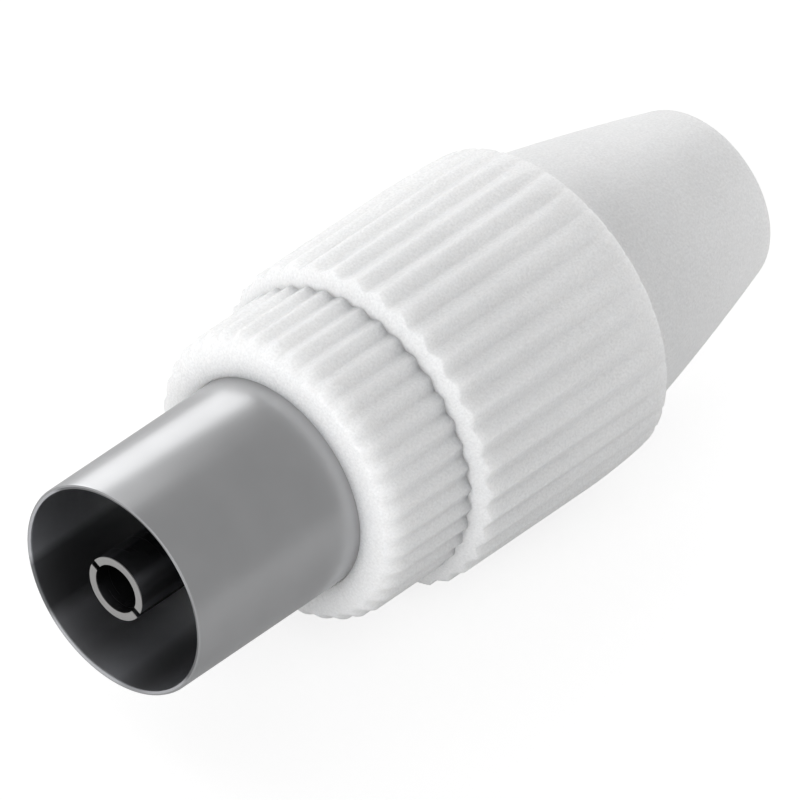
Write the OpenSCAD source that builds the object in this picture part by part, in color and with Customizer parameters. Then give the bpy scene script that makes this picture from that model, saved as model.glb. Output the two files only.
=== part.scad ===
// Coaxial aerial connector, socket form, with a two-piece screw-together plastic body.
// The axis lies along X. The mating face is at the origin and the cable leaves toward +X.

/* [Shield sleeve] */
// Bore of the mating sleeve
sleeve_bore_d = 9.6; // [9.4:0.05:9.8]
// Thickness of the sleeve's sheet metal
sheet_t = 0.25; // [0.2:0.05:0.3]
// Bare length of the sleeve in front of the ring
sleeve_bare_len = 9.85; // [8.5:0.05:12]
// Radius of the wheel that rolls the two retaining grooves
groove_r = 0.6; // [0.5:0.05:0.8]
// Depth of the retaining grooves
groove_depth = 0.25; // [0.15:0.05:0.35]
// Distance from the ring's front face to the first groove
groove_setback = 1.2; // [1:0.1:1.6]
// Overhang of the rear flange beyond the sleeve
flange_overhang = 0.6; // [0.5:0.05:0.65]
// Angle that the cable trough takes round the axis
trough_angle = 150; // [120:5:170]
// Gap in angle between the flange and the trough on each side
flange_relief_angle = 6; // [3:1:10]
// Length of the half funnel between the sleeve and the trough
funnel_len = 2.2; // [1.6:0.1:3]
// Straight length of the cable trough
trough_len = 7; // [5:0.1:8]
// Length of the crimp ears along the trough
ear_len = 3; // [2:0.1:4]
// Height of the crimp ears above the axis
ear_h = 2.6; // [1.5:0.1:2.8]

/* [Centre contact] */
// Outer diameter of the contact tube
contact_d = 3.05; // [2.9:0.05:3.4]
// Bore that takes the mating pin
pin_bore_d = 2.3; // [2.2:0.05:2.45]
// Depth of the pin bore
pin_bore_depth = 8.5; // [7:0.1:10]
// Distance of the contact's tip behind the mating face
contact_recess = 0.15; // [0:0.05:1]
// Width of the slots that part the contact's two fingers
finger_slot_w = 0.33; // [0.2:0.01:0.5]
// Length of the slots
finger_slot_len = 7; // [5:0.1:8]
// Angle of the slots above the horizontal
finger_slot_angle = 26; // [0:1:90]
// Diameter of the wire terminal behind the insulator
terminal_d = 4.2; // [3.8:0.1:4.6]
// Length of the wire terminal
terminal_len = 8.2; // [7.6:0.1:9]
// Hole for the cable's inner wire
wire_hole_d = 1.5; // [1.1:0.1:1.8]
// Depth of the wire hole
wire_hole_depth = 6.5; // [5:0.1:7]

/* [Contact insulator] */
// Thickness of the insulator disc
insulator_len = 4.4; // [3:0.1:5]

/* [Terminal screw] */
// Diameter of the screw's shank
screw_d = 2; // [1.6:0.1:2.2]
// Distance of the screw from the terminal's rear end
screw_setback = 2; // [1.9:0.1:2.5]
// Travel of the screw from driven home to fully open
screw_travel = 0.95; // [0.5:0.05:1.1]
// Diameter of the screw's head
screw_head_d = 3.4; // [2.8:0.1:3.6]
// Height of the screw's head
screw_head_h = 0.9; // [0.6:0.1:1]
// Width of the driver slot
driver_slot_w = 0.45; // [0.3:0.05:0.6]
// Depth of the driver slot
driver_slot_depth = 0.45; // [0.3:0.05:0.5]

/* [Front ring] */
// Diameter over the ring's ribs
ring_d = 13.88; // [13.6:0.02:14.4]
// Length of the ring's grip
ring_len = 5.02; // [4:0.01:7]
// Number of ribs on the ring
ring_ribs = 40; // [30:1:48]
// Depth of the ring's ribs
ring_rib_depth = 0.26; // [0.15:0.01:0.35]
// Turn of the ring's ribs from a valley straight down
ring_rib_turn = 6; // [0:0.5:9]
// Rounding of the ring's front edge
ring_front_round = 1.2; // [0.8:0.05:1.4]
// Diameter of the threaded spigot behind the ring
spigot_d = 12; // [11.8:0.05:12.2]
// Length of the spigot
spigot_len = 4.93; // [4.5:0.01:7]
// Lead-in chamfer at the spigot's end
spigot_chamfer = 0.3; // [0.1:0.05:0.4]

/* [Rear hood] */
// Diameter over the hood's ribs
hood_d = 15.48; // [15.2:0.02:16.4]
// Length of the ribbed barrel
barrel_len = 11.65; // [10.5:0.05:14]
// Number of ribs on the barrel
hood_ribs = 36; // [28:1:44]
// Depth of the barrel's ribs
hood_rib_depth = 0.3; // [0.15:0.01:0.35]
// Length of the steep bevel that cuts the front ends of the barrel's ribs
hood_bevel_len = 0.38; // [0.2:0.01:0.5]
// Height of that bevel, from the front face to the ribs' crests
hood_bevel_h = 0.79; // [0.5:0.01:0.85]
// Length over which the barrel draws in at its rear end
barrel_draw_len = 3.6; // [2:0.1:5]
// Amount by which the ribs' crests are lowered there
barrel_draw = 0.21; // [0.1:0.01:0.28]
// Diameter of the cone where it leaves the barrel
cone_base_d = 13.5; // [12.8:0.05:13.8]
// Length of the cone behind the barrel
cone_len = 10.65; // [9.5:0.05:14]
// Diameter of the cone where its end rounding starts
cone_tip_d = 8.5; // [8.4:0.05:9.4]
// Amount by which the cone's side swells out of a straight line
cone_bulge = 0.1; // [0:0.01:0.2]
// Rounding of the cone's end
cone_end_round = 0.85; // [0.6:0.05:0.9]
// Radius of the cavity behind the thread
cavity_r = 5.3; // [5.2:0.05:5.45]
// Straight length of the cavity
cavity_len = 6.4; // [5.5:0.1:7.5]
// Length of the straight cable hole
cable_hole_len = 1.9; // [1.2:0.1:2.5]
// Lead-in chamfer at the thread's mouth
mouth_chamfer = 0.4; // [0.2:0.05:0.5]

/* [Fits] */
// Outer diameter of the cable it takes
cable_d = 6.7; // [6:0.05:6.8]
// Room round the cable
cable_clearance = 0.05; // [0.02:0.01:0.15]
// Running room between the sleeve and the ring
ring_clearance = 0.06; // [0.04:0.01:0.1]
// Room between the spigot and the hood's thread
thread_clearance = 0.15; // [0.1:0.01:0.2]
// Gap between the ring and the hood when screwed home
home_gap = 0.08; // [0.05:0.01:0.3]
// Play of the flange between the spigot and the hood's shoulder
flange_play = 0.05; // [0.03:0.01:0.1]
// Room round the insulator and round the contact in it
seat_clearance = 0.02; // [0.01:0.01:0.04]
// Room round the terminal screw's shank
screw_clearance = 0.05; // [0.03:0.01:0.08]

/* [Hidden] */
$fn = 96;
arc_steps = 8;
cut = 1;

// Radii of the sleeve and its trough
sleeve_in_r = sleeve_bore_d / 2;
sleeve_out_r = sleeve_in_r + sheet_t;
trough_in_r = cable_d / 2 + cable_clearance;
trough_out_r = trough_in_r + sheet_t;
cable_hole_r = cable_d / 2 + cable_clearance;

// Places along the axis, from the mating face to the cable end
ring_x = sleeve_bare_len;
ring_rear_x = ring_x + ring_len;
spigot_end_x = ring_rear_x + spigot_len;
hood_x = ring_rear_x + home_gap;
flange_x = spigot_end_x + flange_play;
flange_rear_x = flange_x + sheet_t;
shoulder_x = flange_rear_x + flange_play;
trough_x = flange_rear_x + funnel_len;
trough_end_x = trough_x + trough_len;
barrel_end_x = hood_x + barrel_len;
hood_end_x = barrel_end_x + cone_len;

// Rolled grooves: the wheel's centre stands outside the sleeve, and the metal bulges inward round it
groove_centre_r = sleeve_out_r + groove_r - groove_depth;
bulge_r = groove_r + sheet_t;
bulge_half = sqrt(pow(bulge_r, 2) - pow(groove_centre_r - sleeve_in_r, 2));
front_groove_x = ring_x + groove_setback;
insulator_x = front_groove_x + bulge_half;
insulator_rear_x = insulator_x + insulator_len;
rear_groove_x = insulator_rear_x + bulge_half;
terminal_end_x = insulator_rear_x + terminal_len;

// Terminal screw, driven home: fully open, its tip would clear the wire hole
screw_x = terminal_end_x - screw_setback;
screw_tip_z = wire_hole_d / 2 + screw_clearance - screw_travel;
screw_head_z = terminal_d / 2 + screw_clearance;
screw_top_z = screw_head_z + screw_head_h;
screw_hole_floor_z = screw_tip_z - 2 * screw_clearance;

// Radii of the plastic pieces
ring_bore_r = sleeve_out_r + ring_clearance;
spigot_r = spigot_d / 2;
thread_r = spigot_r + thread_clearance;
ring_r = ring_d / 2;
hood_r = hood_d / 2;
// The turned blank of a grip stands a little proud of its rib crests, so it only shapes their ends
crest_margin = 0.04;

// Cone side and its end rounding
cone_base_r = cone_base_d / 2;
cone_tip_r = cone_tip_d / 2;
cone_run = cone_len - cone_end_round;
cone_end_angle = atan((cone_base_r - cone_tip_r + 4 * cone_bulge) / cone_run);
cone_tip_x = hood_end_x - cone_end_round * (1 - sin(cone_end_angle));

// Points of a circular arc
function arc(centre, r, from, to) =
    [for (i = [0 : arc_steps]) let (a = from + (to - from) * i / arc_steps) centre + r * [cos(a), sin(a)]];

// Points of the cone's slightly swelled side
function cone_side() =
    [for (i = [0 : arc_steps])
        let (t = i / arc_steps)
        [
            cone_base_r + (cone_tip_r - cone_base_r) * t + 4 * cone_bulge * t * (1 - t),
            barrel_end_x + (cone_tip_x - barrel_end_x) * t
        ]];

// Turns a shape that was drawn along Z into the connector's axis, with local X pointing down
module along_axis() {
    rotate([0, 90, 0]) children();
}

// Part of a ring round the axis, centred on an angle from straight down
module sector(angle, centre_angle) {
    rotate([0, 0, centre_angle - angle / 2])
        rotate_extrude(angle = angle) children();
}

// Star-shaped section of a ribbed grip, with a valley straight down
module rib_section(r, depth, ribs) {
    polygon([
        for (i = [0 : 2 * ribs - 1])
            let (point_r = i % 2 == 0 ? r - depth : r)
            point_r * [cos(i * 180 / ribs), sin(i * 180 / ribs)]
    ]);
}

// Turned blank of a grip with a rounded front edge
module rounded_front(x, len, r, round) {
    rotate_extrude()
        polygon(concat(
            [[0, x]],
            arc([r - round, x + round], round, 270, 360),
            [[r, x + len], [0, x + len]]
        ));
}

// Section of the sleeve's tube with its two rolled grooves
module tube_section() {
    difference() {
        union() {
            translate([sleeve_in_r, 0]) square([sheet_t, flange_rear_x]);
            intersection() {
                translate([sleeve_in_r - sleeve_bore_d / 4, 0]) square([sleeve_bore_d / 4, flange_x]);
                union() {
                    translate([groove_centre_r, front_groove_x]) circle(bulge_r);
                    translate([groove_centre_r, rear_groove_x]) circle(bulge_r);
                }
            }
        }
        translate([groove_centre_r, front_groove_x]) circle(groove_r);
        translate([groove_centre_r, rear_groove_x]) circle(groove_r);
    }
}

// One piece of plated sheet: tube, half flange, half funnel, cable trough and crimp ears
module shield_sleeve() {
    ear_x = trough_end_x - ear_len;
    color("silver") along_axis() {
        rotate_extrude() tube_section();
        sector(360 - trough_angle - 2 * flange_relief_angle, 180)
            translate([sleeve_in_r, flange_x]) square([sheet_t + flange_overhang, sheet_t]);
        sector(trough_angle, 0)
            polygon([
                [sleeve_in_r, flange_x],
                [sleeve_out_r, flange_x],
                [sleeve_out_r, flange_rear_x],
                [trough_out_r, trough_x],
                [trough_out_r, trough_end_x],
                [trough_in_r, trough_end_x],
                [trough_in_r, trough_x],
                [sleeve_in_r, flange_rear_x]
            ]);
        sector(180, 0) translate([trough_in_r, ear_x]) square([sheet_t, ear_len]);
        for (side = [0, 1])
            mirror([0, side, 0])
                translate([-ear_h, trough_in_r, ear_x]) cube([ear_h, sheet_t, ear_len]);
    }
}

// Moulded disc between the two rolled grooves
module contact_insulator() {
    color("ivory") along_axis()
        translate([0, 0, insulator_x])
            difference() {
                cylinder(r = sleeve_in_r - seat_clearance, h = insulator_len);
                translate([0, 0, -cut])
                    cylinder(r = contact_d / 2 + seat_clearance, h = insulator_len + 2 * cut);
            }
}

// Turned contact: slotted tube in front, wire terminal behind the insulator
module centre_contact() {
    color("lightgray") difference() {
        along_axis() difference() {
            union() {
                translate([0, 0, contact_recess])
                    cylinder(d = contact_d, h = insulator_rear_x - contact_recess + cut);
                translate([0, 0, insulator_rear_x]) cylinder(d = terminal_d, h = terminal_len);
            }
            translate([0, 0, contact_recess - cut]) cylinder(d = pin_bore_d, h = pin_bore_depth + cut);
            translate([0, 0, terminal_end_x - wire_hole_depth])
                cylinder(d = wire_hole_d, h = wire_hole_depth + cut);
            rotate([0, 0, 90 + finger_slot_angle])
                translate([-contact_d, -finger_slot_w / 2, contact_recess - cut])
                    cube([2 * contact_d, finger_slot_w, finger_slot_len + cut]);
        }
        translate([screw_x, 0, screw_hole_floor_z])
            cylinder(r = screw_d / 2 + screw_clearance, h = terminal_d);
    }
}

// Cheese-head screw that clamps the inner wire
module terminal_screw() {
    color("gainsboro") translate([screw_x, 0, 0]) difference() {
        union() {
            translate([0, 0, screw_tip_z]) cylinder(d = screw_d, h = screw_top_z - screw_tip_z);
            translate([0, 0, screw_head_z]) cylinder(d = screw_head_d, h = screw_head_h);
        }
        translate([-screw_head_d, -driver_slot_w / 2, screw_top_z - driver_slot_depth])
            cube([2 * screw_head_d, driver_slot_w, driver_slot_depth + cut]);
    }
}

// Ribbed ring that turns on the sleeve, with the threaded spigot behind it
module front_ring() {
    color("white") along_axis() difference() {
        union() {
            intersection() {
                rounded_front(ring_x, ring_len, ring_r + crest_margin, ring_front_round);
                translate([0, 0, ring_x])
                    rotate([0, 0, ring_rib_turn])
                        linear_extrude(ring_len) rib_section(ring_r, ring_rib_depth, ring_ribs);
            }
            rotate_extrude()
                polygon([
                    [0, ring_rear_x - cut],
                    [spigot_r, ring_rear_x - cut],
                    [spigot_r, spigot_end_x - spigot_chamfer],
                    [spigot_r - spigot_chamfer, spigot_end_x],
                    [0, spigot_end_x]
                ]);
        }
        translate([0, 0, ring_x - cut]) cylinder(r = ring_bore_r, h = spigot_end_x - ring_x + 2 * cut);
    }
}

// Ribbed barrel: a steep bevel cuts the ribs in front, and their crests run out toward the cone
module barrel() {
    draw_x = barrel_end_x - barrel_draw_len;
    draw_steps = 4;
    blank_r = hood_r + crest_margin;
    intersection() {
        translate([0, 0, hood_x])
            linear_extrude(barrel_len) rib_section(hood_r, hood_rib_depth, hood_ribs);
        rotate_extrude()
            polygon(concat(
                [[0, hood_x], [hood_r - hood_bevel_h, hood_x]],
                [[blank_r, hood_x + hood_bevel_len * (1 + crest_margin / hood_bevel_h)], [blank_r, draw_x]],
                [for (i = [1 : draw_steps])
                    let (t = i / draw_steps)
                    [hood_r - barrel_draw * pow(t, 2), draw_x + barrel_draw_len * t]],
                [[0, barrel_end_x]]
            ));
    }
}

// Screw-on hood: ribbed barrel and smooth cone, hollow from the thread to the cable hole
module rear_hood() {
    tip_centre_r = cone_tip_r - cone_end_round * cos(cone_end_angle);
    hole_x = hood_end_x - cable_hole_len;
    color("white") along_axis() difference() {
        union() {
            barrel();
            rotate_extrude()
                polygon(concat(
                    [[0, barrel_end_x - cut], [cone_base_r, barrel_end_x - cut]],
                    cone_side(),
                    arc([tip_centre_r, hood_end_x - cone_end_round], cone_end_round, cone_end_angle, 90),
                    [[0, hood_end_x]]
                ));
        }
        rotate_extrude()
            polygon([
                [0, hood_x - cut],
                [thread_r + mouth_chamfer, hood_x - cut],
                [thread_r + mouth_chamfer, hood_x],
                [thread_r, hood_x + mouth_chamfer],
                [thread_r, shoulder_x],
                [cavity_r, shoulder_x],
                [cavity_r, shoulder_x + cavity_len],
                [cable_hole_r, hole_x],
                [cable_hole_r, hood_end_x + cut],
                [0, hood_end_x + cut]
            ]);
    }
}

shield_sleeve();
contact_insulator();
centre_contact();
terminal_screw();
front_ring();
rear_hood();
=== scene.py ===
import math

import bmesh
import bpy
from mathutils import Matrix, Vector


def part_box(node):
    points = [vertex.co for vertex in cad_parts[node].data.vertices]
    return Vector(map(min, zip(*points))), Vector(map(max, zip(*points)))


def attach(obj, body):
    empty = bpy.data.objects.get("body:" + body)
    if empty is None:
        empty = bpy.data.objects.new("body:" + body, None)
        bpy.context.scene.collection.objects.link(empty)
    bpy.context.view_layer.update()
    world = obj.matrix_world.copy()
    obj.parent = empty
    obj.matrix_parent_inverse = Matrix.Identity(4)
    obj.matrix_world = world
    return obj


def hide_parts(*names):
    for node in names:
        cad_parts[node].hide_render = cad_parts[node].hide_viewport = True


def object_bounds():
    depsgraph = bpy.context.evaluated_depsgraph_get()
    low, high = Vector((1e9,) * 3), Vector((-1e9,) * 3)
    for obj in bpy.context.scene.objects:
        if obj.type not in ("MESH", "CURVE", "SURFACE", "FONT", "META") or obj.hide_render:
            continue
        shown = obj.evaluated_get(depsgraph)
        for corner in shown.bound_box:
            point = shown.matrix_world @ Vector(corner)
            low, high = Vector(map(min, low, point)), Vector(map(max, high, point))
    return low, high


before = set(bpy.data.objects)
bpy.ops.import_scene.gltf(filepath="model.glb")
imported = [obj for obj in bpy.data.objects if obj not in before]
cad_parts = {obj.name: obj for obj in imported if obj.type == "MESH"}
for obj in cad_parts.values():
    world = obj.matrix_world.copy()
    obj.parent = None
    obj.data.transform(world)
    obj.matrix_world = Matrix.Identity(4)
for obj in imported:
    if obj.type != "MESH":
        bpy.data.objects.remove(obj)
cad_low, cad_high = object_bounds()

# Shield sleeve
# The socket's outer contact: one piece of thin nickel-plated sheet, drawn to a tube.
# Rolled grooves grip the insulator, the half flange seats in the hood, and the trough holds the cable.

# Lengths are in millimetres until a piece is finished. Places closer than a hair count as the same.
MM = 0.001
HAIR = 0.001
WELD = 0.00001


def limits(node):
    """Lowest and highest corner of a CAD node, in millimetres."""
    low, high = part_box(node)
    return low / MM, high / MM


def add_node(tree, kind, settings=None, **inputs):
    """Shader node with its settings and its plain input values."""
    made = tree.nodes.new(kind)
    for name, value in (settings or {}).items():
        setattr(made, name, value)
    for name, value in inputs.items():
        made.inputs[name.replace("_", " ")].default_value = value
    return made


def marks_and_painted_shade_group():
    """Fine marks of drawing and turning, and a mask for painted shade in a bore round the X axis, with soft
    painted reflection bands.
    """
    band_stretch = (30, 330, 330)
    group = bpy.data.node_groups.new("marks_and_painted_shade", "ShaderNodeTree")
    face = group.interface
    face.new_socket("Vector", in_out="INPUT", socket_type="NodeSocketVector")
    face.new_socket("Lines per metre", in_out="INPUT", socket_type="NodeSocketVector")
    for name in ("Bore radius", "Bore start", "Bore end"):
        face.new_socket(name, in_out="INPUT", socket_type="NodeSocketFloat")
    for name in ("Height", "Gloss", "Tone", "Bore", "Painted reflection bands"):
        face.new_socket(name, in_out="OUTPUT", socket_type="NodeSocketFloat")
    given = add_node(group, "NodeGroupInput")
    result = add_node(group, "NodeGroupOutput")
    drawn = add_node(group, "ShaderNodeVectorMath", {"operation": "MULTIPLY"})
    lines = add_node(group, "ShaderNodeTexNoise", Scale=1.0, Detail=3.0, Roughness=0.6)
    cloud = add_node(group, "ShaderNodeTexNoise", Scale=420.0, Detail=2.0, Roughness=0.5)
    across = add_node(group, "ShaderNodeVectorMath", {"operation": "MULTIPLY"})
    across.inputs[1].default_value = (0, 1, 1)
    # Mask where the painted shade goes: within a radius of the X axis, between two places along it.
    radius = add_node(group, "ShaderNodeVectorMath", {"operation": "LENGTH"})
    within = add_node(group, "ShaderNodeMath", {"operation": "LESS_THAN"})
    along = add_node(group, "ShaderNodeSeparateXYZ")
    behind = add_node(group, "ShaderNodeMath", {"operation": "GREATER_THAN"})
    before = add_node(group, "ShaderNodeMath", {"operation": "LESS_THAN"})
    between = add_node(group, "ShaderNodeMath", {"operation": "MULTIPLY"})
    bore = add_node(group, "ShaderNodeMath", {"operation": "MULTIPLY"})
    # Soft bands along the axis, for painted reflection bands in the shaded bore.
    drawn_bands = add_node(group, "ShaderNodeVectorMath", {"operation": "MULTIPLY"})
    drawn_bands.inputs[1].default_value = band_stretch
    bands = add_node(group, "ShaderNodeTexNoise", Scale=1.0, Detail=0.0)
    banded = add_node(group, "ShaderNodeMapRange", From_Min=0.42, From_Max=0.58)
    link = group.links.new
    link(given.outputs["Vector"], drawn.inputs[0])
    link(given.outputs["Lines per metre"], drawn.inputs[1])
    link(drawn.outputs["Vector"], lines.inputs["Vector"])
    link(given.outputs["Vector"], cloud.inputs["Vector"])
    link(lines.outputs["Fac"], result.inputs["Height"])
    link(lines.outputs["Fac"], result.inputs["Gloss"])
    link(cloud.outputs["Fac"], result.inputs["Tone"])
    link(given.outputs["Vector"], across.inputs[0])
    link(across.outputs["Vector"], radius.inputs[0])
    link(radius.outputs["Value"], within.inputs[0])
    link(given.outputs["Bore radius"], within.inputs[1])
    link(given.outputs["Vector"], along.inputs["Vector"])
    link(along.outputs["X"], behind.inputs[0])
    link(given.outputs["Bore start"], behind.inputs[1])
    link(along.outputs["X"], before.inputs[0])
    link(given.outputs["Bore end"], before.inputs[1])
    link(behind.outputs["Value"], between.inputs[0])
    link(before.outputs["Value"], between.inputs[1])
    link(within.outputs["Value"], bore.inputs[0])
    link(between.outputs["Value"], bore.inputs[1])
    link(bore.outputs["Value"], result.inputs["Bore"])
    link(given.outputs["Vector"], drawn_bands.inputs[0])
    link(drawn_bands.outputs["Vector"], bands.inputs["Vector"])
    link(bands.outputs["Fac"], banded.inputs["Value"])
    link(banded.outputs["Result"], result.inputs["Painted reflection bands"])
    return group


MARKS_AND_PAINTED_SHADE = marks_and_painted_shade_group()


def metal(name, tint, gloss, lines, mark_depth, painted_shade_r=0, painted_shade_x=(0, 0), painted_bore_shade=(0, 0, 0)):
    """Plated metal: tone and gloss wander, marks lie the way it was worked, and within a radius of the axis
    the colour is painted shade with painted reflection bands.
    """
    tone_spread = 0.07
    reflection_band_spread = 0.5
    material = bpy.data.materials.new(name)
    material.use_nodes = True
    tree = material.node_tree
    surface = tree.nodes["Principled BSDF"]
    surface.inputs["Metallic"].default_value = 1.0
    place = add_node(tree, "ShaderNodeTexCoord")
    marks = add_node(tree, "ShaderNodeGroup", {"node_tree": MARKS_AND_PAINTED_SHADE}, Lines_per_metre=lines)
    marks.inputs["Bore radius"].default_value = painted_shade_r * MM
    marks.inputs["Bore start"].default_value = painted_shade_x[0] * MM
    marks.inputs["Bore end"].default_value = painted_shade_x[1] * MM
    tone = add_node(tree, "ShaderNodeMix", {"data_type": "RGBA"})
    tone.inputs["A"].default_value = (*((1 - tone_spread) * c for c in tint), 1)
    tone.inputs["B"].default_value = (*((1 + tone_spread) * c for c in tint), 1)
    # Painted shade colour, made lighter and darker in painted reflection bands.
    painted_shade_colour = add_node(tree, "ShaderNodeMix", {"data_type": "RGBA"})
    painted_shade_colour.inputs["A"].default_value = (*((1 - reflection_band_spread) * c for c in painted_bore_shade), 1)
    painted_shade_colour.inputs["B"].default_value = (*((1 + reflection_band_spread) * c for c in painted_bore_shade), 1)
    # Plated tone outside the mask, painted shade and painted reflection bands inside it.
    plated = add_node(tree, "ShaderNodeMix", {"data_type": "RGBA"})
    dull = add_node(tree, "ShaderNodeMapRange", From_Min=0.3, From_Max=0.7)
    dull.inputs["To Min"].default_value = gloss[0]
    dull.inputs["To Max"].default_value = gloss[1]
    bump = add_node(tree, "ShaderNodeBump", Strength=1.0, Distance=mark_depth * MM)
    link = tree.links.new
    link(place.outputs["Object"], marks.inputs["Vector"])
    link(marks.outputs["Tone"], tone.inputs["Factor"])
    link(marks.outputs["Painted reflection bands"], painted_shade_colour.inputs["Factor"])
    link(tone.outputs["Result"], plated.inputs["A"])
    link(painted_shade_colour.outputs["Result"], plated.inputs["B"])
    link(marks.outputs["Bore"], plated.inputs["Factor"])
    link(plated.outputs["Result"], surface.inputs["Base Color"])
    link(marks.outputs["Gloss"], dull.inputs["Value"])
    link(dull.outputs["Result"], surface.inputs["Roughness"])
    link(marks.outputs["Height"], bump.inputs["Height"])
    link(bump.outputs["Normal"], surface.inputs["Normal"])
    return material


def lathe(outline, steps, closed=False):
    """Surface turned round the X axis from (x, radius) points, which start straight below the axis."""
    form = bmesh.new()
    line = [form.verts.new((x, 0, -r)) for x, r in outline]
    ends = line[1:] + line[:1] if closed else line[1:]
    for start, end in zip(line, ends):
        form.edges.new((start, end))
    bmesh.ops.spin(
        form, geom=form.verts[:] + form.edges[:], cent=(0, 0, 0), axis=(1, 0, 0),
        angle=2 * math.pi, steps=steps, use_merge=True,
    )
    bmesh.ops.remove_doubles(form, verts=form.verts[:], dist=WELD)
    bmesh.ops.recalc_face_normals(form, faces=form.faces[:])
    return form


def arc(centre_x, centre_r, radius, first, last, steps):
    """Points of an arc in the lathe's plane, with angles from +x toward the outside."""
    turns = (math.radians(first + (last - first) * i / steps) for i in range(steps + 1))
    return [(centre_x + radius * math.cos(a), centre_r + radius * math.sin(a)) for a in turns]


def soften(form, radius, keep=lambda edge: True):
    """Small rounding on the sharp edges that are to have it."""
    sharp = math.radians(60)
    edges = [e for e in form.edges if e.is_manifold and e.calc_face_angle() > sharp and keep(e)]
    bmesh.ops.bevel(
        form, geom=edges, offset=radius, segments=2, profile=0.5, affect="EDGES",
        material=-1, clamp_overlap=True,
    )


def piece(name, form, material, body, node):
    """Finished piece in metres from a form in millimetres, in place of its CAD node."""
    crease = math.radians(38)
    bmesh.ops.scale(form, vec=(MM, MM, MM), verts=form.verts[:])
    form.normal_update()
    for face in form.faces:
        face.smooth = True
    for edge in form.edges:
        edge.smooth = edge.calc_face_angle(0) < crease
    mesh = bpy.data.meshes.new(name)
    form.to_mesh(mesh)
    form.free()
    mesh.materials.append(material)
    made = bpy.data.objects.new(name, mesh)
    bpy.context.collection.objects.link(made)
    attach(made, body)
    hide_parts(node)
    return made


sleeve_low, sleeve_high = limits("shield_sleeve")
ring_low, ring_high = limits("front_ring")
insulator_low, insulator_high = limits("contact_insulator")
sleeve_r = -sleeve_low.z
flange_r = sleeve_high.y
sheet_t = 0.25
flange_play = 0.05
flange_x = ring_high.x + flange_play
groove_r = 0.6
groove_depth = 0.25
groove_steps = 8
groove_half_angle = math.degrees(math.acos(1 - groove_depth / groove_r))
groove_axis_r = sleeve_r + groove_r - groove_depth
bulge_half = math.sqrt((groove_r + sheet_t) ** 2 - (groove_r - groove_depth + sheet_t) ** 2)
trough_r = 3.65
trough_angle = 150
flange_angle = 198
funnel_x = flange_x + sheet_t
funnel_len = 2.2
trough_x = funnel_x + funnel_len
ear_len = 3
ear_x = sleeve_high.x - ear_len
ear_h = 2.6
ear_round = 0.7
bend_r = 0.2
rim_round = 0.115
rim_reach = 0.01
# Width of the rim's outer edge that is left out of the painted shade inside the tube.
unshaded_rim_width = 0.11
sheet_edge = 0.06
sheet_edge_x = 0.2
sleeve_steps = 120


def rolled_groove(x):
    """Outside of a groove that a wheel has rolled into the tube."""
    first = 270 - groove_half_angle
    last = 270 + groove_half_angle
    return arc(x, groove_axis_r, groove_r, first, last, groove_steps)


def draw_on(form, edges, x, r):
    """Draws the sheet on from an edge to another place along the axis and another radius."""
    made = bmesh.ops.extrude_edge_only(form, edges=edges)["geom"]
    corners = {v for v in made if isinstance(v, bmesh.types.BMVert)}
    for corner in corners:
        across = Vector((0, corner.co.y, corner.co.z)).normalized()
        corner.co = across * r + Vector((x, 0, 0))
    return [e for e in made if isinstance(e, bmesh.types.BMEdge) and corners.issuperset(e.verts)]


def angle_from_down(edge):
    """Angle of an edge's middle round the axis, from straight down."""
    middle = (edge.verts[0].co + edge.verts[1].co) / 2
    return math.degrees(math.atan2(abs(middle.y), -middle.z))


sheet = lathe(
    [(0, sleeve_r)]
    + rolled_groove(insulator_low.x - bulge_half)
    + rolled_groove(insulator_high.x + bulge_half)
    + [(flange_x, sleeve_r)],
    sleeve_steps,
)
rear_edges = [e for e in sheet.edges if all(abs(v.co.x - flange_x) < HAIR for v in e.verts)]
flange_root = [e for e in rear_edges if angle_from_down(e) > 180 - flange_angle / 2]
funnel_root = [e for e in rear_edges if angle_from_down(e) < trough_angle / 2]
draw_on(sheet, flange_root, flange_x, flange_r)
bend_edges = draw_on(sheet, funnel_root, funnel_x, sleeve_r)
trough_edges = draw_on(sheet, bend_edges, trough_x, trough_r)
bend_edges += trough_edges
bend_edges += flange_root
trough_edges = draw_on(sheet, trough_edges, ear_x, trough_r)
draw_on(sheet, trough_edges, sleeve_high.x, trough_r)
for side in (1, -1):
    rim = [
        e for e in sheet.edges
        if e.is_boundary and all(v.co.x > ear_x - HAIR and v.co.y * side > 0 for v in e.verts)
        and abs(e.verts[0].co.x - e.verts[1].co.x) > ear_len / 2
    ]
    ear_turns = round((90 - trough_angle / 2) * sleeve_steps / 360)
    for turn in range(ear_turns + 1):
        made = bmesh.ops.extrude_edge_only(sheet, edges=rim)["geom"]
        corners = [v for v in made if isinstance(v, bmesh.types.BMVert)]
        if turn < ear_turns:
            step = Matrix.Rotation(side * 2 * math.pi / sleeve_steps, 3, "X")
            bmesh.ops.rotate(sheet, cent=(0, 0, 0), matrix=step, verts=corners)
        else:
            bmesh.ops.translate(sheet, vec=(0, 0, ear_h), verts=corners)
        rim = [e for e in made if isinstance(e, bmesh.types.BMEdge) and set(corners).issuperset(e.verts)]
    bmesh.ops.bevel(
        sheet, geom=corners, offset=ear_round, segments=5, profile=0.5, affect="VERTICES",
        material=-1, clamp_overlap=True,
    )
bends = [e for e in bend_edges if e.is_valid]
bmesh.ops.bevel(
    sheet, geom=bends, offset=bend_r, segments=3, profile=0.5, affect="EDGES",
    material=-1, clamp_overlap=True,
)
bmesh.ops.recalc_face_normals(sheet, faces=sheet.faces[:])
bmesh.ops.solidify(sheet, geom=sheet.faces[:], thickness=sheet_t)
soften(sheet, rim_round, lambda edge: all(v.co.x < rim_reach for v in edge.verts))
soften(sheet, sheet_edge, lambda edge: all(v.co.x > sheet_edge_x for v in edge.verts))
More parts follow.
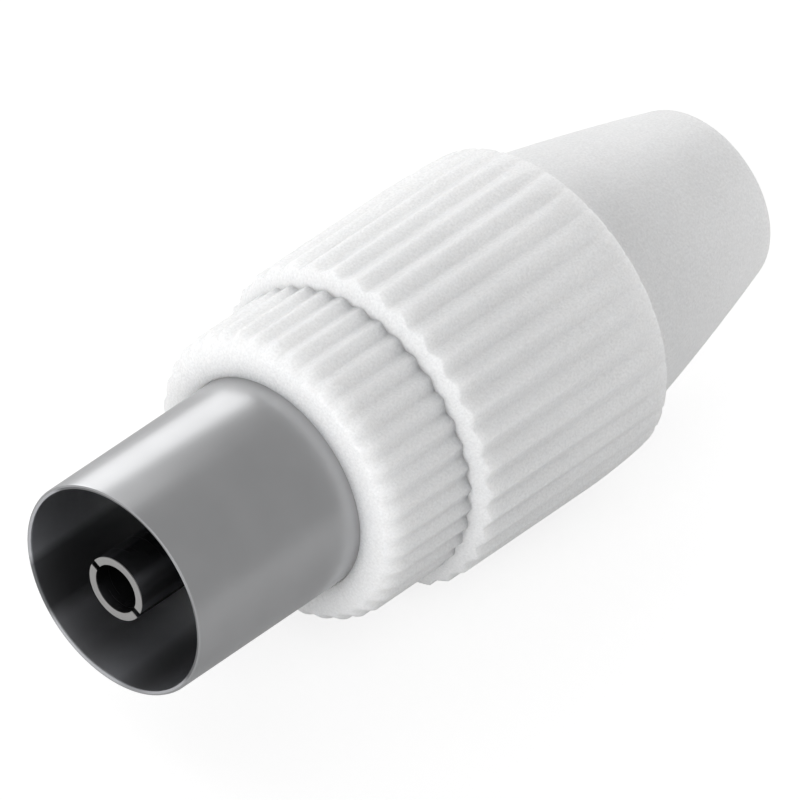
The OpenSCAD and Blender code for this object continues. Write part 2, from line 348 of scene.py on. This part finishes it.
# Inside the tube and on the inner half of its front rim, the colour is painted shade with painted
# reflection bands.
bright_nickel = metal(
    "bright_nickel", tint=(0.45, 0.453, 0.461), gloss=(0.28, 0.32),
    lines=(60, 5200, 5200), mark_depth=0.00002,
    painted_shade_r=sleeve_r - unshaded_rim_width, painted_shade_x=(sleeve_low.x - HAIR, flange_x), painted_bore_shade=(0.41, 0.415, 0.43),
)
piece("plated_sleeve", sheet, bright_nickel, "core", "shield_sleeve")

# Contact insulator
# Plain moulded disc that keeps the centre contact in the middle of the sleeve.
# The sleeve's two rolled grooves hold it front and rear, and the contact is pressed through it.
disc_r = insulator_high.y
disc_bore_r = 1.545
disc_round = 0.25
disc_steps = 96


def moulded_skin_group():
    """Skin that plastic takes from a fine spark-eroded mould: a fine height, a tone and a gloss."""
    group = bpy.data.node_groups.new("moulded_skin", "ShaderNodeTree")
    face = group.interface
    face.new_socket("Vector", in_out="INPUT", socket_type="NodeSocketVector")
    face.new_socket("Grains per metre", in_out="INPUT", socket_type="NodeSocketFloat")
    for name in ("Height", "Tone", "Gloss"):
        face.new_socket(name, in_out="OUTPUT", socket_type="NodeSocketFloat")
    given = add_node(group, "NodeGroupInput")
    result = add_node(group, "NodeGroupOutput")
    grain = add_node(group, "ShaderNodeTexNoise", Detail=4.0, Roughness=0.6)
    cloud = add_node(group, "ShaderNodeTexNoise", Scale=260.0, Detail=3.0, Roughness=0.55)
    patch = add_node(group, "ShaderNodeTexNoise", Scale=900.0, Detail=2.0, Roughness=0.5)
    tone = add_node(group, "ShaderNodeMix", Factor=0.75)
    spread = add_node(group, "ShaderNodeMapRange", From_Min=0.32, From_Max=0.68)
    link = group.links.new
    for texture in (grain, cloud, patch):
        link(given.outputs["Vector"], texture.inputs["Vector"])
    link(given.outputs["Grains per metre"], grain.inputs["Scale"])
    link(grain.outputs["Fac"], result.inputs["Height"])
    link(cloud.outputs["Fac"], tone.inputs["A"])
    link(grain.outputs["Fac"], tone.inputs["B"])
    link(tone.outputs["Result"], spread.inputs["Value"])
    link(spread.outputs["Result"], result.inputs["Tone"])
    link(patch.outputs["Fac"], result.inputs["Gloss"])
    return group


MOULDED_SKIN = moulded_skin_group()


def plastic(name, dark, pale, gloss, grains, grain_depth):
    """Moulded plastic that light soaks into: a fine grain of colour and height, and uneven satin."""
    material = bpy.data.materials.new(name)
    material.use_nodes = True
    tree = material.node_tree
    surface = tree.nodes["Principled BSDF"]
    surface.inputs["IOR"].default_value = 1.49
    surface.inputs["Subsurface Weight"].default_value = 1.0
    surface.inputs["Subsurface Radius"].default_value = (1.0, 0.97, 0.94)
    surface.inputs["Subsurface Scale"].default_value = 2.5 * MM
    place = add_node(tree, "ShaderNodeTexCoord")
    skin = add_node(tree, "ShaderNodeGroup", {"node_tree": MOULDED_SKIN}, Grains_per_metre=grains)
    tone = add_node(tree, "ShaderNodeMix", {"data_type": "RGBA"})
    tone.inputs["A"].default_value = (*dark, 1)
    tone.inputs["B"].default_value = (*pale, 1)
    satin = add_node(tree, "ShaderNodeMapRange", From_Min=0.3, From_Max=0.7)
    satin.inputs["To Min"].default_value = gloss[0]
    satin.inputs["To Max"].default_value = gloss[1]
    bump = add_node(tree, "ShaderNodeBump", Strength=1.0, Distance=grain_depth * MM)
    link = tree.links.new
    link(place.outputs["Object"], skin.inputs["Vector"])
    link(skin.outputs["Tone"], tone.inputs["Factor"])
    link(tone.outputs["Result"], surface.inputs["Base Color"])
    link(skin.outputs["Gloss"], satin.inputs["Value"])
    link(satin.outputs["Result"], surface.inputs["Roughness"])
    link(skin.outputs["Height"], bump.inputs["Height"])
    link(bump.outputs["Normal"], surface.inputs["Normal"])
    return material


disc = lathe(
    [
        (insulator_low.x, disc_bore_r),
        (insulator_low.x, disc_r),
        (insulator_high.x, disc_r),
        (insulator_high.x, disc_bore_r),
    ],
    disc_steps,
    closed=True,
)
soften(disc, disc_round)
ivory = plastic(
    "ivory_moulding", dark=(0.77, 0.76, 0.71), pale=(0.87, 0.86, 0.81), gloss=(0.4, 0.5),
    grains=9000, grain_depth=0.006,
)
piece("insulator_disc", disc, ivory, "core", "contact_insulator")

# Centre contact
# Turned and nickel-plated: a tube sawn into two spring fingers in front, a wire terminal behind.
# Pressed into the insulator. The mating pin goes into its fingers, and the cable's wire into its rear hole.
contact_low, contact_high = limits("centre_contact")
screw_low, screw_high = limits("terminal_screw")
tube_r = 1.525
pin_bore_r = 1.15
pin_bore_len = 8.5
pin_bore_end_x = contact_low.x + pin_bore_len
slot_len = 7
slot_floor_x = contact_low.x + slot_len
slot_half = 0.165
slot_angle = math.radians(26)
terminal_r = contact_high.y
wire_hole_r = 0.75
wire_hole_len = 6.5
wire_hole_x = contact_high.x - wire_hole_len
terminal_edge = 0.2
finger_edge = 0.07
finger_reach = 0.01
# The fingers' front ends stay out of the painted shade, which reaches a little past the tube's outside.
unshaded_tip_len = 0.06
side_margin = 0.02
contact_steps = 64

contact = lathe(
    [
        (pin_bore_end_x, 0),
        (pin_bore_end_x, pin_bore_r),
        (slot_floor_x, pin_bore_r),
        (slot_floor_x, tube_r),
        (insulator_high.x, tube_r),
        (insulator_high.x, terminal_r - terminal_edge),
        (insulator_high.x + terminal_edge, terminal_r),
        (contact_high.x - terminal_edge, terminal_r),
        (contact_high.x, terminal_r - terminal_edge),
        (contact_high.x, wire_hole_r + terminal_edge),
        (contact_high.x - terminal_edge, wire_hole_r),
        (wire_hole_x, wire_hole_r),
        (wire_hole_x, 0),
    ],
    contact_steps,
)
slot_side = Vector((0, -math.sin(slot_angle), math.cos(slot_angle)))


def at_slot_floor(face):
    """Whether a face lies at the bottom of the saw cut, where the fingers start."""
    return all(abs(v.co.x - slot_floor_x) < HAIR for v in face.verts)


for side in (1, -1):
    ring_faces = [f for f in contact.faces if at_slot_floor(f)]
    ring_parts = {part for f in ring_faces for part in (*f.verts, *f.edges, f)}
    bmesh.ops.bisect_plane(
        contact, geom=list(ring_parts), dist=WELD,
        plane_co=slot_side * side * slot_half, plane_no=slot_side,
    )
for side in (1, -1):
    finger = [
        f for f in contact.faces
        if at_slot_floor(f) and f.calc_center_median().dot(slot_side) * side > slot_half
    ]
    grown = bmesh.ops.extrude_face_region(contact, geom=finger)["geom"]
    tip = [v for v in grown if isinstance(v, bmesh.types.BMVert)]
    bmesh.ops.translate(contact, vec=(contact_low.x - slot_floor_x, 0, 0), verts=tip)
bmesh.ops.recalc_face_normals(contact, faces=contact.faces[:])
soften(contact, finger_edge, lambda edge: all(v.co.x < contact_low.x + finger_reach for v in edge.verts))
# The pin bore, the slots and the outside of the fingers and tube, all but their front ends, are painted a
# near-black shade with painted reflection bands.
turned_nickel = metal(
    "turned_nickel", tint=(0.44, 0.435, 0.43), gloss=(0.22, 0.28),
    lines=(9000, 150, 150), mark_depth=0.0002,
    painted_shade_r=tube_r + side_margin, painted_shade_x=(contact_low.x + unshaded_tip_len, insulator_low.x),
    painted_bore_shade=(0.12, 0.12, 0.126),
)
slotted_contact = piece(
    "slotted_contact", contact, turned_nickel, "core", "centre_contact",
)

# A drill takes the screw's hole out of the terminal, from above and across the wire's hole.
screw_x = (screw_low.x + screw_high.x) / 2
screw_hole_r = 1.05
screw_hole_room = 0.1
screw_hole_floor_z = screw_low.z - screw_hole_room
drill_room = 1
drill_top_z = terminal_r + drill_room
drill_middle_z = (drill_top_z + screw_hole_floor_z) / 2
drill = bmesh.new()
bmesh.ops.create_cone(
    drill, cap_ends=True, segments=48, radius1=screw_hole_r, radius2=screw_hole_r,
    depth=drill_top_z - screw_hole_floor_z, matrix=Matrix.Translation((screw_x, 0, drill_middle_z)),
)
bmesh.ops.scale(drill, vec=(MM, MM, MM), verts=drill.verts[:])
drill_mesh = bpy.data.meshes.new("screw_hole")
drill.to_mesh(drill_mesh)
drill.free()
drill_tool = bpy.data.objects.new("screw_hole", drill_mesh)
bpy.context.collection.objects.link(drill_tool)
drilled = slotted_contact.modifiers.new("screw_hole", "BOOLEAN")
drilled.object = drill_tool
drilled.operation = "DIFFERENCE"
drilled.solver = "EXACT"
graph = bpy.context.evaluated_depsgraph_get()
drilled_mesh = bpy.data.meshes.new_from_object(slotted_contact.evaluated_get(graph))
slotted_contact.modifiers.clear()
slotted_contact.data = drilled_mesh
bpy.data.objects.remove(drill_tool)

# Terminal screw
# Small zinc-plated cheese-head screw, turned, threaded and slotted.
# It goes down through the terminal and clamps the cable's inner wire in its hole.
shank_r = 1.0
head_r = screw_high.y
head_h = 0.9
driver_half = 0.225
driver_depth = 0.45
screw_pitch = 0.4
screw_thread_depth = 0.13
screw_point = 0.2
head_edge = 0.08
screw_steps = 64


def thread_wave(turns):
    """Height of a trapezoid thread, 0 in its valley and 1 on its crest, at a place counted in pitches."""
    valley_start = 0.36
    flank = 0.24
    from_crest = abs((turns + 0.5) % 1 - 0.5)
    return min(1, max(0, (valley_start - from_crest) / flank))


shank_h = screw_high.z - head_h - screw_low.z
floor_h = screw_high.z - driver_depth - screw_low.z
shank_rows = 60
screw = lathe(
    [(0, 0)]
    + [(shank_h * i / shank_rows, shank_r) for i in range(shank_rows + 1)]
    + [(shank_h, head_r), (floor_h, head_r), (floor_h, 0)],
    screw_steps,
)
for corner in screw.verts:
    r = math.hypot(corner.co.y, corner.co.z)
    if 0 < r < shank_r + HAIR and corner.co.x < shank_h + HAIR:
        turn = math.atan2(corner.co.z, corner.co.y) / (2 * math.pi)
        lead = min(1, max(0, (shank_h - corner.co.x) / screw_pitch))
        groove = screw_thread_depth * lead * (1 - thread_wave(corner.co.x / screw_pitch - turn))
        taper = max(0, screw_point - corner.co.x)
        fit = (shank_r - max(groove, taper)) / r
        corner.co.y *= fit
        corner.co.z *= fit


def at_driver_floor(face):
    """Whether a face lies at the bottom of the driver slot, where the head's cheeks start."""
    return all(abs(v.co.x - floor_h) < HAIR for v in face.verts)


for side in (1, -1):
    top_parts = {p for f in screw.faces if at_driver_floor(f) for p in (*f.verts, *f.edges, f)}
    bmesh.ops.bisect_plane(
        screw, geom=list(top_parts), dist=WELD,
        plane_co=(0, side * driver_half, 0), plane_no=(0, 1, 0),
    )
for side in (1, -1):
    cheek = [
        f for f in screw.faces
        if at_driver_floor(f) and f.calc_center_median().y * side > driver_half
    ]
    grown = bmesh.ops.extrude_face_region(screw, geom=cheek)["geom"]
    top = [v for v in grown if isinstance(v, bmesh.types.BMVert)]
    bmesh.ops.translate(screw, vec=(driver_depth, 0, 0), verts=top)
bmesh.ops.recalc_face_normals(screw, faces=screw.faces[:])
soften(screw, head_edge, lambda edge: all(v.co.x > shank_h - HAIR for v in edge.verts))
upright = Matrix.Rotation(-math.pi / 2, 3, "Y")
bmesh.ops.rotate(screw, cent=(0, 0, 0), matrix=upright, verts=screw.verts[:])
bmesh.ops.translate(screw, vec=(screw_x, 0, screw_low.z), verts=screw.verts[:])
zinc_steel = metal(
    "zinc_steel", tint=(0.45, 0.45, 0.455), gloss=(0.28, 0.4), lines=(2500, 2500, 2500), mark_depth=0.001,
)
piece("clamp_screw", screw, zinc_steel, "screw", "terminal_screw")

# Front ring
# White moulded ring with fine grip ribs and a rounded front edge, and the threaded spigot behind it.
# It turns freely on the sleeve, whose flange stops it behind the spigot, and its thread pulls the hood on.
hood_low, hood_high = limits("rear_hood")
home_gap = 0.03
ring_rear_x = hood_low.x - home_gap
ring_crest_r = 6.94
ring_ribs = 40
ring_rib_depth = 0.26
ring_rib_turn = math.radians(6)
ring_front_round = 1.2
ring_round_steps = 18
ring_rear_edge = 0.02
ring_face_turn = 32
ring_rib_start = 0.3
ring_rib_run = 0.65
ring_play = 0.03
ring_bore_r = sleeve_r + ring_play
ring_edge = 0.05
spigot_r = 6.0
spigot_lead = 0.45
spigot_bore_edge = 0.3
thread_pitch = 1.0
thread_depth = 0.4
thread_rows = 16
thread_plain = 0.3
thread_fade = 0.4
columns_per_rib = 10
crest_margin = 0.04


def rib_radius(turn, crest_r, depth, ribs):
    """Radius of a ribbed section: straight flanks with slightly rounded crests and valleys."""
    sharp = 0.985
    wave = math.asin(sharp * math.cos(ribs * turn)) / math.asin(sharp)
    return crest_r - depth * (1 + wave) / 2


def set_radius(corner, r):
    """Moves a corner straight toward the axis or away from it."""
    now = math.hypot(corner.co.y, corner.co.z)
    corner.co.y *= r / now
    corner.co.z *= r / now


def turn_from_down(corner):
    """Angle of a corner about +X, from straight below the axis."""
    return math.atan2(corner.co.y, -corner.co.z)


def thread_line(start, end, r):
    """Points along a threaded stretch, close enough for the thread's form."""
    count = round(abs(end - start) / thread_pitch * thread_rows)
    return [(start + (end - start) * i / count, r) for i in range(count + 1)]


ring_blank_r = ring_crest_r + crest_margin
ring_round = arc(
    ring_low.x + ring_front_round, ring_blank_r - ring_front_round, ring_front_round,
    180 - ring_face_turn, 90, ring_round_steps,
)
ring_face_x = ring_round[0][0]
ring = lathe(
    [(ring_low.x + ring_edge, ring_bore_r), (ring_low.x, ring_bore_r + ring_edge)]
    + ring_round
    + [(ring_rear_x - ring_rear_edge, ring_blank_r)]
    + [(ring_rear_x, ring_blank_r - ring_rear_edge - crest_margin)]
    + thread_line(ring_rear_x, ring_high.x, spigot_r)
    + [(ring_high.x, ring_bore_r + spigot_bore_edge), (ring_high.x - spigot_bore_edge, ring_bore_r)],
    ring_ribs * columns_per_rib,
    closed=True,
)
for corner in ring.verts:
    r = math.hypot(corner.co.y, corner.co.z)
    turn = turn_from_down(corner)
    if corner.co.x < ring_rear_x + HAIR and r > spigot_r + HAIR:
        limit = rib_radius(turn - ring_rib_turn, ring_crest_r, ring_rib_depth, ring_ribs)
        over_round = (corner.co.x - ring_face_x) / ring_rib_run
        rib_growth = min(1, ring_rib_start + (1 - ring_rib_start) * over_round)
        limit = min(limit, r - (ring_crest_r - limit) * rib_growth)
        if corner.co.x > ring_rear_x - HAIR:
            limit -= ring_rear_edge
        set_radius(corner, min(r, limit))
    elif abs(r - spigot_r) < HAIR:
        wave = thread_wave(corner.co.x / thread_pitch - turn / (2 * math.pi))
        run_out = min(1, max(0, (corner.co.x - ring_rear_x - thread_plain) / thread_fade))
        lead_in = max(0, corner.co.x - (ring_high.x - spigot_lead))
        set_radius(corner, min(spigot_r - thread_depth * (1 - wave * run_out), spigot_r - lead_in))
white_satin = plastic(
    "white_satin", dark=(0.775, 0.775, 0.777), pale=(0.975, 0.975, 0.975), gloss=(0.42, 0.52),
    grains=9000, grain_depth=0.008,
)
piece("grip_ring", ring, white_satin, "ring", "front_ring")

# Rear hood
# White moulded cover: a ribbed barrel to grip and a smooth cone that ends in the cable hole.
# It screws onto the ring's spigot, clamps the sleeve's flange on its inner shoulder and hides the joint.
hood_crest_r = 7.74
hood_ribs = 36
hood_rib_depth = 0.27
bevel_len = 0.42
bevel_h = 0.79
bevel_roll = 1.25
bevel_steps = 10
barrel_len = 11.65
barrel_end_x = hood_low.x + barrel_len
draw_len = 3.6
draw_depth = 0.21
draw_steps = 10
rear_edge = 0.06
cone_base_r = 6.75
cone_tip_r = 4.25
cone_bulge = 0.1
cone_steps = 14
cone_end_round = 0.85
cone_end_steps = 8
cone_fillet = 0.15
thread_play = 0.15
thread_shift = 0.5
hood_thread_r = spigot_r + thread_play
mouth_edge = 0.4
shoulder_x = flange_x + sheet_t + flange_play
cavity_r = 5.3
cavity_len = 6.4
cavity_end_x = shoulder_x + cavity_len
cable_hole_r = 3.4
cable_hole_len = 1.9
cable_hole_x = hood_high.x - cable_hole_len
cable_hole_edge = 0.15
hood_columns_per_rib = 12


def blank_radius(x):
    """Radius that the barrel's crests keep: a steep bevel in front, and a slow draw-in at the rear."""
    into_bevel = max(0, 1 - (x - hood_low.x) / bevel_len)
    into_draw = max(0, 1 - (barrel_end_x - x) / draw_len)
    return hood_crest_r - bevel_h * into_bevel ** bevel_roll - draw_depth * into_draw ** 2


cone_run = hood_high.x - barrel_end_x - cone_end_round
cone_end_angle = math.atan((cone_base_r - cone_tip_r + 4 * cone_bulge) / cone_run)
cone_tip_x = hood_high.x - cone_end_round * (1 - math.sin(cone_end_angle))
cone_side = []
for i in range(cone_steps + 1):
    t = i / cone_steps
    swell = 4 * cone_bulge * t * (1 - t)
    cone_side.append((
        barrel_end_x + (cone_tip_x - barrel_end_x) * t,
        cone_base_r + (cone_tip_r - cone_base_r) * t + swell,
    ))
cone_side[0] = (barrel_end_x + cone_fillet, cone_side[0][1])
cone_end = arc(
    hood_high.x - cone_end_round, cone_tip_r - cone_end_round * math.cos(cone_end_angle), cone_end_round,
    90 - math.degrees(cone_end_angle), 0, cone_end_steps,
)
barrel_rows = [hood_low.x + bevel_len * i / bevel_steps for i in range(bevel_steps + 1)]
barrel_rows += [barrel_end_x - draw_len * (1 - i / draw_steps) for i in range(draw_steps)]
barrel_rows.append(barrel_end_x - rear_edge)
barrel_valley_r = hood_crest_r - hood_rib_depth

hood = lathe(
    [(hood_low.x, hood_thread_r + mouth_edge)]
    + [(x, blank_radius(x)) for x in barrel_rows]
    + [(barrel_end_x, blank_radius(barrel_end_x) - rear_edge)]
    + [(barrel_end_x, cone_base_r + cone_fillet)]
    + cone_side
    + cone_end[1:]
    + [
        (hood_high.x, cable_hole_r + cable_hole_edge),
        (hood_high.x - cable_hole_edge, cable_hole_r),
        (cable_hole_x, cable_hole_r),
        (cavity_end_x, cavity_r),
        (shoulder_x, cavity_r),
    ]
    + thread_line(shoulder_x, hood_low.x + mouth_edge, hood_thread_r),
    hood_ribs * hood_columns_per_rib,
    closed=True,
)
for corner in hood.verts:
    r = math.hypot(corner.co.y, corner.co.z)
    turn = turn_from_down(corner)
    if corner.co.x < barrel_end_x + HAIR and r > barrel_valley_r - rear_edge:
        limit = rib_radius(turn, hood_crest_r, hood_rib_depth, hood_ribs)
        if corner.co.x > barrel_end_x - HAIR:
            limit -= rear_edge
        set_radius(corner, min(r, limit))
    elif abs(r - hood_thread_r) < HAIR:
        wave = thread_wave(corner.co.x / thread_pitch - turn / (2 * math.pi) - thread_shift)
        run_out = min(1, max(0, (shoulder_x - thread_plain - corner.co.x) / thread_fade))
        set_radius(corner, hood_thread_r - thread_depth * wave * run_out)
piece("cable_hood", hood, white_satin, "hood", "rear_hood")

# Floor, lights and camera
# A wide pale table under the connector, a grey room, four soft lamps and a long lens.
# The lens looks down on the mating end, so that the axis runs up to the right.
table_size = 0.9
table_z = cad_low.z
room_strength = 0.5


def table_material():
    """Pale table: white to the lens with a soft shadow on it, and a little paler in reflections."""
    material = bpy.data.materials.new("pale_table")
    material.use_nodes = True
    tree = material.node_tree
    tree.nodes.remove(tree.nodes["Principled BSDF"])
    output = tree.nodes["Material Output"]
    paths = add_node(tree, "ShaderNodeLightPath")
    shown = add_node(tree, "ShaderNodeMath", {"operation": "MAXIMUM"})
    table = add_node(tree, "ShaderNodeBsdfDiffuse", Color=(0.72, 0.72, 0.72, 1))
    shade = add_node(tree, "ShaderNodeBsdfDiffuse", Color=(0.35, 0.35, 0.35, 1))
    lift = add_node(tree, "ShaderNodeEmission", Color=(1, 1, 1, 1), Strength=0.04)
    glow = add_node(tree, "ShaderNodeEmission", Color=(1, 1, 1, 1), Strength=0.75)
    lifted = add_node(tree, "ShaderNodeAddShader")
    glowing = add_node(tree, "ShaderNodeAddShader")
    mirrored = add_node(tree, "ShaderNodeMixShader")
    viewed = add_node(tree, "ShaderNodeMixShader")
    link = tree.links.new
    link(paths.outputs["Is Glossy Ray"], shown.inputs[0])
    link(paths.outputs["Is Transmission Ray"], shown.inputs[1])
    link(table.outputs["BSDF"], lifted.inputs[0])
    link(lift.outputs["Emission"], lifted.inputs[1])
    link(shade.outputs["BSDF"], glowing.inputs[0])
    link(glow.outputs["Emission"], glowing.inputs[1])
    link(shown.outputs["Value"], mirrored.inputs["Fac"])
    link(table.outputs["BSDF"], mirrored.inputs[1])
    link(lifted.outputs["Shader"], mirrored.inputs[2])
    link(paths.outputs["Is Camera Ray"], viewed.inputs["Fac"])
    link(mirrored.outputs["Shader"], viewed.inputs[1])
    link(glowing.outputs["Shader"], viewed.inputs[2])
    link(viewed.outputs["Shader"], output.inputs["Surface"])
    return material


table_form = bmesh.new()
bmesh.ops.create_grid(table_form, x_segments=1, y_segments=1, size=table_size / 2)
bmesh.ops.translate(table_form, vec=(0, 0, table_z), verts=table_form.verts[:])
table_mesh = bpy.data.meshes.new("table")
table_form.to_mesh(table_mesh)
table_form.free()
table_mesh.materials.append(table_material())
table_top = bpy.data.objects.new("table", table_mesh)
bpy.context.collection.objects.link(table_top)

room = bpy.data.worlds.new("room")
room.use_nodes = True
room_light = room.node_tree.nodes["Background"]
room_light.inputs["Color"].default_value = (1, 1, 1, 1)
room_light.inputs["Strength"].default_value = room_strength
bpy.context.scene.world = room

view_centre = Vector((17.817, -0.077, -0.059)) * MM


def soft_lamp(name, toward, distance, width, height, power):
    """Rectangular lamp that faces the connector from a direction."""
    lamp = bpy.data.lights.new(name, "AREA")
    lamp.shape = "RECTANGLE"
    lamp.size = width
    lamp.size_y = height
    lamp.energy = power
    holder = bpy.data.objects.new(name, lamp)
    bpy.context.collection.objects.link(holder)
    way = Vector(toward).normalized()
    turned = way.to_track_quat("Z", "Y").to_matrix().to_4x4()
    holder.matrix_world = Matrix.Translation(view_centre + way * distance) @ turned


soft_lamp("back_softbox", (0.45, 0.81, 0.38), distance=0.2, width=0.34, height=0.13, power=0.2)
soft_lamp("left_lamp", (-0.1, 0.72, 0.68), distance=0.3, width=0.26, height=0.4, power=0.18)
soft_lamp("front_lamp", (-0.92, -0.16, 0.28), distance=0.4, width=0.16, height=0.16, power=0.88)
soft_lamp("tip_lamp", (0.86, -0.48, 0.17), distance=0.04, width=0.02, height=0.02, power=0.0011)

# How far the axis leans to the lens, its slope in the image, and the side that faces the lens.
axis_foreshortening = 0.575
axis_lean = math.asin(axis_foreshortening)
axis_slope = math.radians(34)
facing_turn = math.radians(127.2)
view_width = 34.14 * MM
lens = 1300
sensor = 36
axis = Vector((1, 0, 0))
facing = Vector((0, math.cos(facing_turn), math.sin(facing_turn)))
across = axis.cross(facing)
along = axis * math.cos(axis_lean) + facing * math.sin(axis_lean)
toward_lens = facing * math.cos(axis_lean) - axis * math.sin(axis_lean)
right = along * math.cos(axis_slope) + across * math.sin(axis_slope)
up = along * math.sin(axis_slope) - across * math.cos(axis_slope)
camera_data = bpy.data.cameras.new("camera")
camera_data.lens = lens
camera_data.sensor_width = sensor
camera_data.clip_start = 0.01
camera_data.clip_end = 10
camera = bpy.data.objects.new("camera", camera_data)
bpy.context.collection.objects.link(camera)
place = view_centre + toward_lens * view_width * lens / sensor
camera.matrix_world = Matrix((right, up, toward_lens)).transposed().to_4x4()
camera.matrix_world.translation = place
bpy.context.scene.camera = camera
bpy.context.scene.view_settings.view_transform = "Standard"
